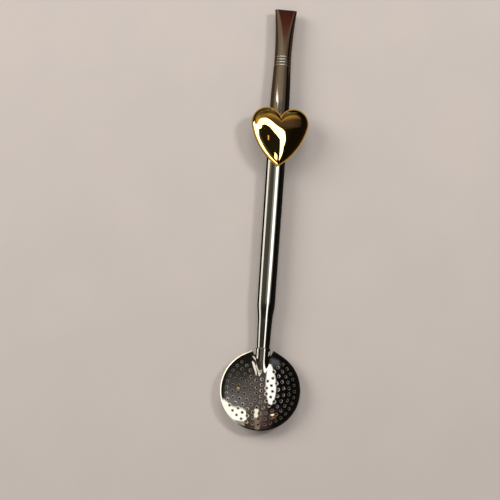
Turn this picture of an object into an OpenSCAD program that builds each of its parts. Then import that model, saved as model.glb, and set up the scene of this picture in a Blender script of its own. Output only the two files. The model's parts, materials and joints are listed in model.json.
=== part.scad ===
// Bombilla: a metal straw for mate, with a flattened mouthpiece, a gilt heart on the
// front of the stem and a perforated strainer made of two dished shells.
// Millimetres. It lies on its back: the table is z = 0, the middle of the strainer is
// the origin, the stem runs along +Y to the mouthpiece and the heart faces +Z.

/* [Stem] */
// Outside diameter of the tube above the heart, its thickest round part
stem_d = 8.3; // [7.5:0.1:9.5]
// Outside diameter of the tube just above the swage
stem_low_d = 7.6; // [7:0.1:8.2]
// Outside diameter at the foot of the swage
swage_d = 6.2; // [5.8:0.1:6.8]
// Outside diameter of the tail that goes into the strainer
tail_d = 5.4; // [5:0.1:5.7]
// Wall of the tube
tube_wall = 0.5; // [0.4:0.05:0.6]
// From the middle of the strainer to the tip of the mouthpiece
stem_reach = 165.8; // [150:1:190]
// From the middle of the strainer to the top of the swage
swage_top = 37.8; // [34:0.1:50]
// Length of the swage
swage_l = 8; // [5:0.5:12]
// From the middle of the strainer to the cut end of the tail inside it
tail_end = 6.5; // [5:0.5:9]

/* [Mouthpiece] */
// Width of the flattened tip
mouth_w = 9.55; // [8.5:0.05:11]
// Thickness of the flattened tip
mouth_t = 2.6; // [2.2:0.1:4]
// Length over which the tube is flattened
mouth_l = 19.9; // [14:0.1:24]
// Outside diameter of the waist below the flattened part
waist_d = 7.25; // [6.8:0.05:7.8]
// Length of the taper from the waist down to the full stem
waist_l = 21.7; // [15:0.1:24]
// Number of engraved lines round the waist
line_count = 4; // [1:1:6]
// Distance between engraved lines
line_pitch = 1.2; // [0.8:0.1:2]
// Width of an engraved line at the surface
line_w = 0.45; // [0.2:0.05:0.6]
// Depth of an engraved line
line_depth = 0.15; // [0.05:0.01:0.2]

/* [Strainer] */
// Outside diameter of the rolled rim
strainer_d = 34.6; // [30:0.2:38]
// Thickness of the sheet that both shells are pressed from
sheet = 0.4; // [0.3:0.05:0.5]
// Height of the front shell above the plane of the rim
front_rise = 4.6; // [4.2:0.1:6]
// Diameter of the flat that the back shell rests on
back_flat_d = 12; // [8:0.5:15]
// Width of the rolled rim as seen from the front
rim_w = 1; // [0.9:0.05:1.3]
// From the rim of the strainer to the mouth of its neck
neck_out = 0.65; // [0.4:0.05:2]
// Slope of the shoulders, from square to the stem
shoulder_slope = 29; // [25:1:35]
// Clear width between the tips of the two shoulders
shoulder_gap = 9.2; // [8:0.1:10]
// Depth of the relief cut between a shoulder and the neck
relief_depth = 3.8; // [2:0.1:4]

/* [Perforation] */
// Diameter of a strainer hole
hole_d = 0.85; // [0.6:0.05:1]
// Diameter of the dimple round a hole
dimple_d = 1.5; // [1.3:0.1:1.9]
// Depth of the dimple
dimple_depth = 0.1; // [0.05:0.05:0.25]
// From the edge of the dome to the middle of the outermost holes
plain_edge = 1.62; // [1.1:0.02:2]
// Number of closed rings round the middle hole
full_rings = 2; // [1:1:2]
// Holes in each open ring, from the inside out
arc_holes = [14, 19, 25, 29]; // [8:1:34]
// Half of the gap that each open ring leaves for the neck, in degrees
arc_gap = [40, 31, 33, 37]; // [30:1:60]

/* [Heart] */
// Width of the heart over both lobes
heart_w = 24.7; // [20:0.1:26]
// Radius of a lobe
lobe_r = 6.5; // [6.2:0.1:7]
// From the centre line of the lobes to the point of the heart
heart_drop = 19; // [16:0.1:22]
// Radius of the long side curves
side_r = 28; // [26:1:60]
// From the middle of the strainer to the centre line of the lobes
heart_y = 115.4; // [100:0.1:118]
// Offset of the heart to the right of the middle of the stem
heart_side = 0.3; // [-1:0.05:1]
// Turn of the heart on the stem, in degrees
heart_turn = 0; // [-5:0.1:5]
// Height of the domed front above the back plate
heart_rise = 4.4; // [3:0.1:6]
// Thickness of the domed front
heart_wall = 0.7; // [0.5:0.05:1]
// Thickness of the back plate
plate_t = 1; // [0.8:0.05:1.4]
// Width of the back plate left showing round the dome
plate_edge = 0.45; // [0.3:0.05:0.6]
// Depth of the groove in the back plate that sits on the stem
seat_depth = 0.4; // [0.2:0.05:0.6]
// Radius of the solder fillet along each side of the stem
solder_r = 0.6; // [0.4:0.05:0.8]
// Length of the solder fillets
solder_l = 15; // [8:0.5:17]

/* [Hidden] */
$fn = 64;
// Clearance of a soldered or brazed fit
fit = 0.02;
// Clearance inside the rolled rim
hem_gap = 0.04;
// Length by which cutting shapes pass a face
over = 1;
// Width of the braze fillet at the mouth of the neck
braze_w = 0.3;
// Power of the curve by which the tube flattens towards the tip
flare_power = 1.8;
// Powers of the curve of the heart's dome, from its edge to its crown
puff_edge = 2.4;
puff_crown = 0.6;

stem_r = stem_d / 2;
low_r = stem_low_d / 2;
swage_r = swage_d / 2;
tail_r = tail_d / 2;
waist_r = waist_d / 2;
axis_z = stem_r;
swage_foot = swage_top - swage_l;
mouth_y = stem_reach - mouth_l;
waist_foot = mouth_y - waist_l;

rim_r = strainer_d / 2;
dome_r = rim_r - rim_w - hem_gap;
flange_r = rim_r - sheet - hem_gap;
neck_mouth = rim_r + neck_out;
bore_r = tail_r + fit;
neck_r = bore_r + sheet;
tip_x = shoulder_gap / 2;
back_drop = axis_z;
hole_r = hole_d / 2;
dimple_r = dimple_d / 2;
ring_pitch = (dome_r - plain_edge) / (full_rings + len(arc_holes));

// Height of the centre of a sphere on the Z axis through the points (r1, z1) and (r2, z2)
function ball_z(r1, z1, r2, z2) = (r1 * r1 - r2 * r2 + z1 * z1 - z2 * z2) / (2 * (z1 - z2));
front_z = ball_z(dome_r, sheet, 0, front_rise);
front_r = front_rise - front_z;
back_z = ball_z(dome_r, -sheet, back_flat_d / 2, -back_drop);
back_r = norm([dome_r, back_z + sheet]);

lobe_x = heart_w / 2 - lobe_r;
lobe_to_tip = [lobe_x, heart_drop];
lobe_dist = norm(lobe_to_tip);
side_step = side_r - lobe_r;
side_lean = (side_r * side_r - side_step * side_step - lobe_dist * lobe_dist)
    / (2 * side_step * lobe_dist);
side_turn = atan2(lobe_x, heart_drop) + asin(side_lean);
side_x = side_step * cos(side_turn) - lobe_x;
side_y = side_step * sin(side_turn);
heart_mid = -heart_drop * 0.22;
plate_z = axis_z + tube_r(heart_y + heart_mid) - seat_depth;

// Smooth step from a to b while t goes from 0 to 1
function ease(a, b, t) = a + (b - a) * (1 - cos(180 * min(max(t, 0), 1))) / 2;

// Straight step from a to b while t goes from 0 to 1
function mix(a, b, t) = a + (b - a) * t;

// Outside radius of the round tube at distance s from the middle of the strainer
function tube_r(s) =
    s <= neck_mouth ? tail_r
    : s <= swage_foot ? mix(tail_r, swage_r, (s - neck_mouth) / (swage_foot - neck_mouth))
    : s <= swage_top ? ease(swage_r, low_r, (s - swage_foot) / swage_l)
    : s <= waist_foot ? mix(low_r, stem_r, (s - swage_top) / (waist_foot - swage_top))
    : ease(stem_r, waist_r, (s - waist_foot) / waist_l);

// Places along the tube where its profile bends
tube_stops = [
    tail_end,
    neck_mouth,
    for (i = [0:8]) swage_foot + swage_l * i / 8,
    for (i = [0:10]) waist_foot + waist_l * i / 10
];

// Points of a slot-shaped ring: half circles of radius r, their centres f apart
function slot_ring(r, f, y, n) = [
    for (i = [0:n - 1])
        let (a = 360 * (i + 0.5) / n)
        [r * cos(a) + sign(cos(a)) * f / 2, y, r * sin(a)]
];

// Points along an arc
function arc_points(x, y, r, a0, a1, n) = [
    for (i = [0:n]) let (a = mix(a0, a1, i / n)) [x + r * cos(a), y + r * sin(a)]
];

// Right half of the heart's outline from the notch to the point, drawn in by d
function heart_half(d) =
    let (
        lobe = lobe_r - d,
        side = side_r - d,
        notch = acos(min(lobe_x / lobe, 1)),
        point = asin(-side_x / side)
    )
    concat(
        arc_points(lobe_x, 0, lobe, 180 - notch, -side_turn, 18),
        [for (p = arc_points(-side_x, side_y, side, -side_turn, -90 - point, 14)) if (p.x > 0.001) p]
    );

// Whole outline, clockwise from the notch
function heart_outline(d) =
    let (half = heart_half(d), n = len(half))
    concat(half, [for (i = [n - 1:-1:1]) [-half[i].x, half[i].y]]);

// One ring of the heart's dome: the outline at part s of its size, rounder towards the crown
function dome_ring(outline, s, z) = [
    for (p = outline)
        let (
            q = [p.x, p.y - heart_mid],
            blunt = mix(lobe_r + heart_drop / 4, norm(q), pow(s, 1.2)),
            v = q / norm(q) * blunt * s
        )
        [v.x, v.y + heart_mid, z]
];

// Joins rings of equal length into one closed body
module skin(rings, tube = false) {
    n = len(rings[0]);
    m = len(rings);
    walls = [
        for (j = [0:tube ? m - 1 : m - 2], i = [0:n - 1])
            let (
                a = j * n + i,
                b = j * n + (i + 1) % n,
                c = (j + 1) % m * n + (i + 1) % n,
                d = (j + 1) % m * n + i
            )
            each [[a, b, c], [a, c, d]]
    ];
    ends = [[for (i = [n - 1:-1:0]) i], [for (i = [0:n - 1]) (m - 1) * n + i]];
    polyhedron([for (r = rings) each r], tube ? walls : concat(walls, ends));
}

// Turns a profile of (radius, distance along the stem) into a body on the stem's axis
module on_stem() {
    translate([0, 0, axis_z])
        rotate([-90, 0, 0])
            rotate_extrude()
                children();
}

// Outside of the round tube, grown by g
module tube_outside(g) {
    on_stem()
        polygon(concat(
            [for (s = tube_stops) [tube_r(s) + g, s]],
            [[0, mouth_y], [0, tail_end]]
        ));
}

// Round tube with its bore
module round_tube() {
    n = len(tube_stops);
    on_stem()
        polygon(concat(
            [for (s = tube_stops) [tube_r(s), s]],
            [for (i = [n - 1:-1:0]) [tube_r(tube_stops[i]) - tube_wall, tube_stops[i]]]
        ));
}

// Grooves engraved round the waist
module engraved_lines() {
    for (i = [0:line_count - 1]) {
        s = mouth_y - line_pitch - line_pitch * i;
        on_stem()
            polygon([
                [tube_r(s) - line_depth, s],
                [tube_r(s) + over, s + line_w / 2 * (1 + over / line_depth)],
                [tube_r(s) + over, s - line_w / 2 * (1 + over / line_depth)]
            ]);
    }
}

// Half width and half thickness of the flattened tube, t from waist to tip
function mouth_flat(t) = mix(0, mouth_w - mouth_t, pow(t, flare_power));
function mouth_half(t) = mix(waist_r, mouth_t / 2, pow(t, flare_power));

// Flattened end of the tube; it starts inside the wall of the round tube
module flat_mouth() {
    n = 48;
    steps = 12;
    lap = 0.5;
    hide = 0.01;
    soft = 0.12;
    swell = 1 / cos(180 / n);
    outer = [
        slot_ring(waist_r - hide, 0, mouth_y - lap, n),
        for (i = [0:steps])
            let (t = i / steps * (1 - 2 * soft / mouth_l))
            slot_ring(mouth_half(t) - hide, mouth_flat(t), mix(mouth_y, stem_reach, t), n),
        slot_ring(mouth_half(1) - soft, mouth_flat(1), stem_reach, n)
    ];
    inner = [
        slot_ring(mouth_half(1) - tube_wall + soft, mouth_flat(1), stem_reach, n),
        for (i = [steps:-1:0])
            let (t = i / steps * (1 - 2 * soft / mouth_l))
            slot_ring(
                (mouth_half(t) - tube_wall + hide) * swell,
                mouth_flat(t),
                mix(mouth_y, stem_reach, t),
                n
            ),
        slot_ring((waist_r - tube_wall + hide) * swell, 0, mouth_y - lap, n)
    ];
    translate([0, 0, axis_z])
        skin(concat(outer, inner), tube = true);
}

// Where a shoulder of radius r starts to leave the circle, and its tip beside the neck
function shoulder_foot(r) = [r * sin(shoulder_slope), r * cos(shoulder_slope)];
function shoulder_run(r) = (r * sin(shoulder_slope) - tip_x) / cos(shoulder_slope);
function shoulder_tip(r) = [tip_x, r * cos(shoulder_slope) + shoulder_run(r) * sin(shoulder_slope)];

// Outline of a flange of radius r with its two shoulders
module flange_outline(r) {
    foot = shoulder_foot(r);
    tip = shoulder_tip(r);
    circle(r, $fn = 128);
    polygon([[0, 0], foot, tip, [-tip.x, tip.y], [-foot.x, foot.y]]);
}

// Relief cuts that part the shoulders from the neck
module relief_cuts() {
    tip = shoulder_tip(rim_r);
    for (m = [1, -1])
        translate([0, 0, -front_rise])
            linear_extrude(2 * front_rise)
                polygon([
                    [m * (neck_r - sheet / 2), tip.y - relief_depth],
                    [m * tip_x, tip.y],
                    [m * tip_x, tip.y + over],
                    [m * (neck_r - sheet / 2), tip.y + over]
                ]);
}

// Section of the rolled rim, (radius, height), folded round the front flange
module rim_section() {
    top = sheet + hem_gap;
    difference() {
        union() {
            translate([rim_r - sheet, 0])
                square([sheet, top]);
            translate([rim_r - sheet, 0])
                circle(sheet);
            translate([rim_r - sheet, top])
                circle(sheet);
            translate([rim_r - rim_w, top])
                square([rim_w - sheet, sheet]);
            translate([rim_r - 2 * rim_w, -sheet])
                square([2 * rim_w - sheet, sheet]);
        }
        translate([rim_r - rim_w - over, 0])
            square([rim_w - sheet + over, top]);
    }
}

// Rolled rim: round the strainer and up both shoulders
module rolled_rim() {
    run = shoulder_run(rim_r);
    rotate([0, 0, 90 + shoulder_slope])
        rotate_extrude(angle = 360 - 2 * shoulder_slope)
            rim_section();
    for (m = [0, 1])
        mirror([m, 0, 0])
            rotate([0, 0, 90 - shoulder_slope])
                translate([0, run, 0])
                    rotate([90, 0, 0])
                        linear_extrude(run)
                            rim_section();
}

// Tool for one hole: drill, and dimple on the outside at z = 0
module punch() {
    rotate_extrude()
        polygon([
            [0, -over],
            [hole_r, -over],
            [hole_r, -dimple_depth],
            [dimple_r, 0],
            [dimple_r, over / 4],
            [0, over / 4]
        ]);
}

// Plan positions of the holes, as (radius, angle from the neck)
hole_places = [
    [0, 0],
    for (k = [1:full_rings], i = [0:6 * k - 1]) [k * ring_pitch, 60 * i / k],
    for (k = [0:len(arc_holes) - 1], i = [0:arc_holes[k] - 1])
        [(k + 1 + full_rings) * ring_pitch, mix(arc_gap[k], 360 - arc_gap[k], i / (arc_holes[k] - 1))]
];

// Punches all holes square to a ball of radius r centred at height z; holes inside flat_r are upright
module punch_ball(r, z, flat_r, flat_z) {
    for (p = hole_places) {
        tilt = p[0] < flat_r ? 0 : asin(p[0] / r);
        high = p[0] < flat_r ? flat_z : z + r * cos(tilt);
        rotate([0, 0, p[1] + 90])
            translate([p[0], 0, high])
                rotate([0, tilt, 0])
                    punch();
    }
}

// Part of a ball above height low and below height high
module ball_slice(r, z, low, high) {
    intersection() {
        translate([0, 0, z])
            sphere(r, $fn = 128);
        translate([0, 0, low])
            cylinder(r = rim_r * 2, h = high - low);
    }
}

// Half of the neck, on the +Z side, with outside radius r
module neck_half(r) {
    intersection() {
        translate([0, neck_mouth, 0])
            rotate([90, 0, 0])
                cylinder(r = r, h = neck_mouth - tail_end);
        translate([-2 * r, 0, 0])
            cube([4 * r, neck_mouth + over, 2 * r]);
    }
}

// Way for the tail of the tube
module neck_bore() {
    translate([0, neck_mouth + over, 0])
        rotate([90, 0, 0])
            cylinder(r = bore_r, h = neck_mouth + over);
}

// Heart-shaped outline made of true arcs
module heart_face() {
    for (m = [1, -1])
        translate([m * lobe_x, 0])
            circle(lobe_r, $fn = 96);
    intersection() {
        translate([-side_x, side_y])
            circle(side_r, $fn = 240);
        translate([side_x, side_y])
            circle(side_r, $fn = 240);
        translate([-heart_w, -lobe_r * sin(side_turn) - 2 * heart_drop])
            square([2 * heart_w, 2 * heart_drop]);
    }
}

// Puts a piece of the heart on the front of the stem
module on_heart() {
    translate([heart_side, heart_y, plate_z])
        translate([0, heart_mid, 0])
            rotate([0, 0, heart_turn])
                translate([0, -heart_mid, 0])
                    children();
}

// Steel tube from the strainer to the flattened mouthpiece
module stem_tube() {
    color("silver") {
        difference() {
            round_tube();
            engraved_lines();
        }
        flat_mouth();
    }
}

// Dished front of the strainer, with half of the neck and a flat flange
module strainer_front() {
    color("gainsboro")
        translate([0, 0, axis_z])
            difference() {
                union() {
                    difference() {
                        union() {
                            linear_extrude(sheet)
                                flange_outline(flange_r);
                            ball_slice(front_r, front_z, sheet / 2, front_rise + over);
                        }
                        relief_cuts();
                    }
                    neck_half(neck_r);
                }
                ball_slice(front_r - sheet, front_z, -over, front_rise);
                neck_bore();
                punch_ball(front_r, front_z, 0, 0);
            }
}

// Dished back of the strainer with a flat to rest on; its edge is rolled over the front's flange
module strainer_back() {
    color("lightgray")
        translate([0, 0, axis_z])
            mirror([0, 0, 1])
                difference() {
                    union() {
                        difference() {
                            union() {
                                linear_extrude(sheet)
                                    flange_outline(rim_r - rim_w);
                                ball_slice(back_r, -back_z, sheet / 2, back_drop);
                                mirror([0, 0, 1])
                                    rolled_rim();
                            }
                            relief_cuts();
                        }
                        neck_half(neck_r);
                    }
                    ball_slice(back_r - sheet, -back_z, -over, back_drop - sheet);
                    neck_bore();
                    punch_ball(back_r, -back_z, back_flat_d / 2, back_drop);
                }
}

// Braze that closes the mouth of the neck round the tube
module neck_braze() {
    color("darkgray")
        on_stem()
            polygon([
                [tube_r(neck_mouth), neck_mouth],
                [tube_r(neck_mouth) + braze_w, neck_mouth],
                [tube_r(neck_mouth + braze_w), neck_mouth + braze_w]
            ]);
}

// Hollow domed front of the heart
module heart_front() {
    steps = 9;
    outline = heart_outline(plate_edge);
    shrink = 1 - heart_wall / (lobe_r + heart_drop / 6);
    outer = [
        for (i = [0:steps])
            let (s = cos(86 * i / steps))
            dome_ring(outline, s, plate_t + heart_rise * pow(1 - pow(s, puff_edge), puff_crown))
    ];
    inner = [
        for (i = [steps:-1:0])
            let (
                s = cos(86 * i / steps),
                z = (heart_rise - heart_wall) * pow(1 - pow(s, puff_edge), puff_crown)
            )
            [for (p = dome_ring(outline, s, plate_t + z)) [p.x * shrink, mix(heart_mid, p.y, shrink), p.z]]
    ];
    color("gold")
        on_heart()
            skin(concat(inner, outer));
}

// Flat back of the heart, grooved to sit on the stem
module heart_back() {
    color("goldenrod")
        difference() {
            on_heart()
                linear_extrude(plate_t)
                    heart_face();
            tube_outside(fit);
        }
}

// Solder fillet under the heart on one side of the stem, m = 1 on the right and -1 on the left
module solder_fillet(m) {
    mid = heart_y + heart_mid;
    r = tube_r(mid + solder_l / 2);
    low = plate_z - axis_z - solder_r;
    x = sqrt(pow(r + solder_r, 2) - low * low);
    difference() {
        translate([m > 0 ? 0 : -x, mid - solder_l / 2, plate_z - solder_r])
            cube([x, solder_l, solder_r]);
        tube_outside(0);
        translate([m * x, mid - solder_l / 2 - over, plate_z - solder_r])
            rotate([-90, 0, 0])
                cylinder(r = solder_r, h = solder_l + 2 * over);
    }
}

// Solder on the left of the stem
module heart_solder_left() {
    color("silver")
        solder_fillet(-1);
}

// Solder on the right of the stem
module heart_solder_right() {
    color("silver")
        solder_fillet(1);
}

stem_tube();
strainer_front();
strainer_back();
neck_braze();
heart_front();
heart_back();
heart_solder_left();
heart_solder_right();
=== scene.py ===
import itertools
import json
import math

import bpy
import numpy as np
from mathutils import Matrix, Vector
from mathutils.geometry import delaunay_2d_cdt

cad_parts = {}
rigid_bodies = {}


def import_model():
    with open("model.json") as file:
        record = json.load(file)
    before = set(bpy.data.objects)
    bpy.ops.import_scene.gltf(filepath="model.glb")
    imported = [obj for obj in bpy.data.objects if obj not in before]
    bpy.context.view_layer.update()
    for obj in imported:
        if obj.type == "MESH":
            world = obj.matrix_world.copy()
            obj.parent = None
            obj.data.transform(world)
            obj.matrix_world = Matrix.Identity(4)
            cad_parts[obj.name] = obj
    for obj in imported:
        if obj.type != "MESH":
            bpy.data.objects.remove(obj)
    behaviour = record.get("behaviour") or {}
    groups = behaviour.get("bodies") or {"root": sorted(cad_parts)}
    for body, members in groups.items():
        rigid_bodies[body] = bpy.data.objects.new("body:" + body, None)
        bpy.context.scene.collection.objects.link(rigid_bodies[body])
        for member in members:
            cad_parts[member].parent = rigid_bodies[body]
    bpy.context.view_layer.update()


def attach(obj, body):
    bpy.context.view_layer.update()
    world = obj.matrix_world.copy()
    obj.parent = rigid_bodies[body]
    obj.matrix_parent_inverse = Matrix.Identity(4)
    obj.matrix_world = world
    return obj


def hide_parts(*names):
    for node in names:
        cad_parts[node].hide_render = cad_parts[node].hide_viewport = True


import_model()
MM = 0.001

# Stem in millimetres, as in the part's source: outside radii, and places along it from the strainer's middle
STEM_R = 4.15
LOW_R = 3.8  # just above the swage
SWAGE_R = 3.1  # at the foot of the swage
TAIL_R = 2.7
WALL = 0.5
REACH = 165.8  # tip of the mouthpiece
SWAGE_TOP = 37.8
SWAGE_L = 8.0
TAIL_END = 6.5  # cut end of the tail inside the strainer

# Mouthpiece, waist and engraved lines
MOUTH_W = 9.55
MOUTH_T = 2.6
MOUTH_L = 19.9  # length over which the tube is flattened
FLARE = 1.8  # power by which the round tube turns flat
WAIST_R = 3.625
WAIST_L = 21.7  # taper from the waist down to the full stem
LINES = 4
LINE_PITCH = 1.2
LINE_W = 0.45
LINE_DEPTH = 0.15

# Strainer: rolled rim, sheet, neck and shoulders
RIM_R = 17.3
RIM_W = 1.0
HEM = 0.04  # gap between the flange and the rolled rim
SHEET = 0.4
RISE = 4.6  # front of the dome above the plane of the rim
NECK_MOUTH = 17.95
NECK_FIT = 0.02  # gap between the tail and the neck
SLOPE = math.radians(29)  # shoulders, from square to the stem
TIP_X = 4.6  # half of the gap between the shoulders' tips
RELIEF = 3.8  # depth of the cut between a shoulder and the neck

# Holes in closed and open rings, their dimples, and the duller ring that the press left round each
HOLE_R = 0.425
DIMPLE_R = 0.75
DIMPLE_D = 0.1  # depth
RING = 2.44  # from one ring of holes to the next
FULL_RINGS = 2
FIRST_RING_HOLES = 6
ARC_HOLES = (14, 19, 25, 29)
ARC_GAP = (40, 31, 33, 37)  # half of each open ring's gap, in degrees
PRESS_R = 0.6
PRESS_W = 0.17

# Heart and its back plate
HEART_W = 24.7
LOBE_R = 6.5
HEART_DROP = 19.0  # from the lobes' centre line to the point
SIDE_R = 28.0  # long side curves
HEART_Y = 115.4  # lobes' centre line
HEART_SIDE = 0.3  # to the right of the stem's middle
HEART_RISE = 4.4
HEART_MID_SHARE = 0.22  # middle of the heart, as a share of its drop
PUFF_EDGE = 2.4  # powers of the dome's profile
PUFF_CROWN = 0.6
PLATE_T = 1.0
PLATE_EDGE = 0.45  # width left showing round the dome
SEAT = 0.4  # depth of the plate's groove for the stem

# What follows from these sizes
AXIS_Z = STEM_R
SWAGE_FOOT = SWAGE_TOP - SWAGE_L
MOUTH_Y = REACH - MOUTH_L
WAIST_FOOT = MOUTH_Y - WAIST_L
DOME_R = RIM_R - RIM_W - HEM
FLANGE_R = RIM_R - SHEET - HEM
NECK_R = TAIL_R + NECK_FIT + SHEET
TIP_Y = (RIM_R - TIP_X * math.sin(SLOPE)) / math.cos(SLOPE)
CUT_Y = TIP_Y - RELIEF
BALL_Z = (DOME_R**2 + SHEET**2 - RISE**2) / (2 * (SHEET - RISE))
BALL_R = RISE - BALL_Z
HEART_MID = -HEART_DROP * HEART_MID_SHARE

# Limits for the mesh work: a length beyond any other, and one that counts as nothing
FAR_AWAY = 1e9
TINY = 1e-9


def mix(a, b, t):
    """Value at the share t of the way from a to b."""
    return a + (b - a) * t


def ease(a, b, t):
    """The same along half a cosine wave, level at both ends."""
    t = min(max(t, 0.0), 1.0)
    return a + (b - a) * (1 - math.cos(math.pi * t)) / 2


def step(x, lo, hi):
    """Smooth step from 0 at lo to 1 at hi."""
    t = np.clip((x - lo) / (hi - lo), 0, 1)
    return t * t * (3 - 2 * t)


def soft_max(a, b, width):
    """The larger of two heights, rounded where they are less than width apart."""
    h = np.clip(0.5 + 0.5 * (a - b) / width, 0, 1)
    return b + (a - b) * h + width * h * (1 - h)


def tube_r(s):
    """Outside radius of the stem at s, below the mouthpiece."""
    if s <= NECK_MOUTH:
        return TAIL_R
    if s <= SWAGE_FOOT:
        return mix(TAIL_R, SWAGE_R, (s - NECK_MOUTH) / (SWAGE_FOOT - NECK_MOUTH))
    if s <= SWAGE_TOP:
        return ease(SWAGE_R, LOW_R, (s - SWAGE_FOOT) / SWAGE_L)
    if s <= WAIST_FOOT:
        return mix(LOW_R, STEM_R, (s - SWAGE_TOP) / (WAIST_FOOT - SWAGE_TOP))
    return ease(STEM_R, WAIST_R, (s - WAIST_FOOT) / WAIST_L)


PLATE_Z = AXIS_Z + tube_r(HEART_Y + HEART_MID) - SEAT


def add_piece(name, verts, faces, material, normals=None, sharp_deg=None):
    """A shown piece of the object from points in millimetres; normals are one per point."""
    mesh = bpy.data.meshes.new(name)
    mesh.from_pydata([tuple(v * MM for v in p) for p in verts], [], faces)
    mesh.validate()
    mesh.update()
    mesh.shade_smooth()
    if sharp_deg:
        mesh.set_sharp_from_angle(angle=math.radians(sharp_deg))
    if normals is not None:
        mesh.normals_split_custom_set_from_vertices([tuple(n) for n in normals])
    mesh.materials.append(material)
    obj = bpy.data.objects.new(name, mesh)
    bpy.context.scene.collection.objects.link(obj)
    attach(obj, "root")
    return obj


def set_pressed(piece, values):
    """Marks, one per point, where a tool made the metal duller."""
    piece.data.attributes.new("pressed", "FLOAT", "POINT").data.foreach_set("value", values)


def loop_faces(count, n, closed):
    """Quads between rings of n points each; closed joins the last ring to the first."""
    faces = []
    for j in range(count if closed else count - 1):
        k = (j + 1) % count
        for i in range(n):
            i2 = (i + 1) % n
            faces.append((j * n + i, k * n + i, k * n + i2, j * n + i2))
    return faces


# Materials
NOISE_ROUGHNESS = 0.55


def nodes_of(name):
    mat = bpy.data.materials.new(name)
    mat.use_nodes = True
    tree = mat.node_tree
    return mat, tree, tree.nodes["Principled BSDF"]


def noise(tree, scale, detail, stretch=(1, 1, 1)):
    """Noise in object coordinates, in metres, stretched along the axes."""
    coord = tree.nodes.new("ShaderNodeTexCoord")
    mapping = tree.nodes.new("ShaderNodeMapping")
    mapping.inputs["Scale"].default_value = stretch
    tex = tree.nodes.new("ShaderNodeTexNoise")
    tex.inputs["Scale"].default_value = scale
    tex.inputs["Detail"].default_value = detail
    tex.inputs["Roughness"].default_value = NOISE_ROUGHNESS
    tree.links.new(coord.outputs["Object"], mapping.inputs["Vector"])
    tree.links.new(mapping.outputs["Vector"], tex.inputs["Vector"])
    return tex.outputs["Fac"]


def ramp(tree, value, lo, hi, out_lo, out_hi):
    """Smooth change from out_lo to out_hi while value goes from lo to hi."""
    node = tree.nodes.new("ShaderNodeMapRange")
    node.interpolation_type = "SMOOTHSTEP"
    node.inputs["From Min"].default_value = lo
    node.inputs["From Max"].default_value = hi
    node.inputs["To Min"].default_value = out_lo
    node.inputs["To Max"].default_value = out_hi
    tree.links.new(value, node.inputs["Value"])
    return node.outputs["Result"]


def add(tree, a, b):
    node = tree.nodes.new("ShaderNodeMath")
    tree.links.new(a, node.inputs[0])
    tree.links.new(b, node.inputs[1])
    return node.outputs[0]


def blend(tree, under, over, weight):
    """Two colours mixed by weight; each is a plain colour or the output of another node."""
    node = tree.nodes.new("ShaderNodeMix")
    node.data_type = "RGBA"
    for socket, value in (("A", under), ("B", over)):
        if isinstance(value, tuple):
            node.inputs[socket].default_value = (*value, 1)
        else:
            tree.links.new(value, node.inputs[socket])
    tree.links.new(weight, node.inputs["Factor"])
    return node.outputs["Result"]


def polished(name, colour, dull, base_rough, scratch, wear, pressed=0.0):
    """Polished metal: smudges and hairlines change the roughness, and tarnish shifts the colour a little.

    Where the mesh has a "pressed" mark, the metal is rougher by up to the given amount."""
    mat, tree, bsdf = nodes_of(name)
    bsdf.inputs["Metallic"].default_value = 1.0
    smudges = noise(tree, scale=90, detail=4)
    hairlines = noise(tree, scale=900, detail=3, stretch=(14, 0.35, 14))
    cross_lines = noise(tree, scale=700, detail=3, stretch=(0.6, 9, 0.6))
    rough = ramp(tree, smudges, lo=0.5, hi=0.75, out_lo=base_rough, out_hi=base_rough + wear)
    rough = add(tree, rough, ramp(tree, hairlines, lo=0.62, hi=0.8, out_lo=0, out_hi=scratch))
    rough = add(tree, rough, ramp(tree, cross_lines, lo=0.66, hi=0.82, out_lo=0, out_hi=scratch))
    if pressed:
        mark = tree.nodes.new("ShaderNodeAttribute")
        mark.attribute_name = "pressed"
        rough = add(tree, rough, ramp(tree, mark.outputs["Fac"], lo=0.1, hi=1, out_lo=0, out_hi=pressed))
    tree.links.new(rough, bsdf.inputs["Roughness"])
    tarnish = ramp(tree, noise(tree, scale=55, detail=5), lo=0.45, hi=0.8, out_lo=0, out_hi=0.55)
    tree.links.new(blend(tree, colour, dull, tarnish), bsdf.inputs["Base Color"])
    bump = tree.nodes.new("ShaderNodeBump")
    bump.inputs["Strength"].default_value = 0.02
    bump.inputs["Distance"].default_value = 0.00002
    tree.links.new(noise(tree, scale=160, detail=2), bump.inputs["Height"])
    tree.links.new(bump.outputs["Normal"], bsdf.inputs["Normal"])
    return mat


STEEL_LOOK = {
    "colour": (0.67, 0.655, 0.63),
    "dull": (0.6, 0.575, 0.54),
    "base_rough": 0.035,
    "scratch": 0.05,
    "wear": 0.06,
}
STEEL = polished("polished steel", **STEEL_LOOK)
PRESSED = polished("pressed steel", **STEEL_LOOK, pressed=0.42)
ENGRAVED = polished("engraved steel", **STEEL_LOOK, pressed=0.4)
GOLD = polished(
    "gilt brass", colour=(0.94, 0.68, 0.25), dull=(0.85, 0.56, 0.17), base_rough=0.03, scratch=0.04, wear=0.05
)
SOLDER = polished(
    "silver solder", colour=(0.6, 0.58, 0.55), dull=(0.45, 0.43, 0.4), base_rough=0.28, scratch=0.1, wear=0.15
)
BRAZE = polished(
    "silver braze", colour=(0.66, 0.61, 0.52), dull=(0.5, 0.45, 0.37), base_rough=0.22, scratch=0.1, wear=0.15
)

# Stem tube with its engraved lines, flattened mouthpiece and bore

# Points on each ring, and rings along the mouthpiece, over its softened lip and down the bore
RING_POINTS = 96
MOUTH_RINGS = 50
LIP_RINGS = 9
LIP_SOFT = 0.22
MOUTH_BORE_RINGS = 26
BORE_STOPS = 8
# One ring lies this far inside the neck's mouth, and edges sharper than this stay sharp
TAIL_STEP = 0.2
STEM_SHARP_DEG = 50
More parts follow.
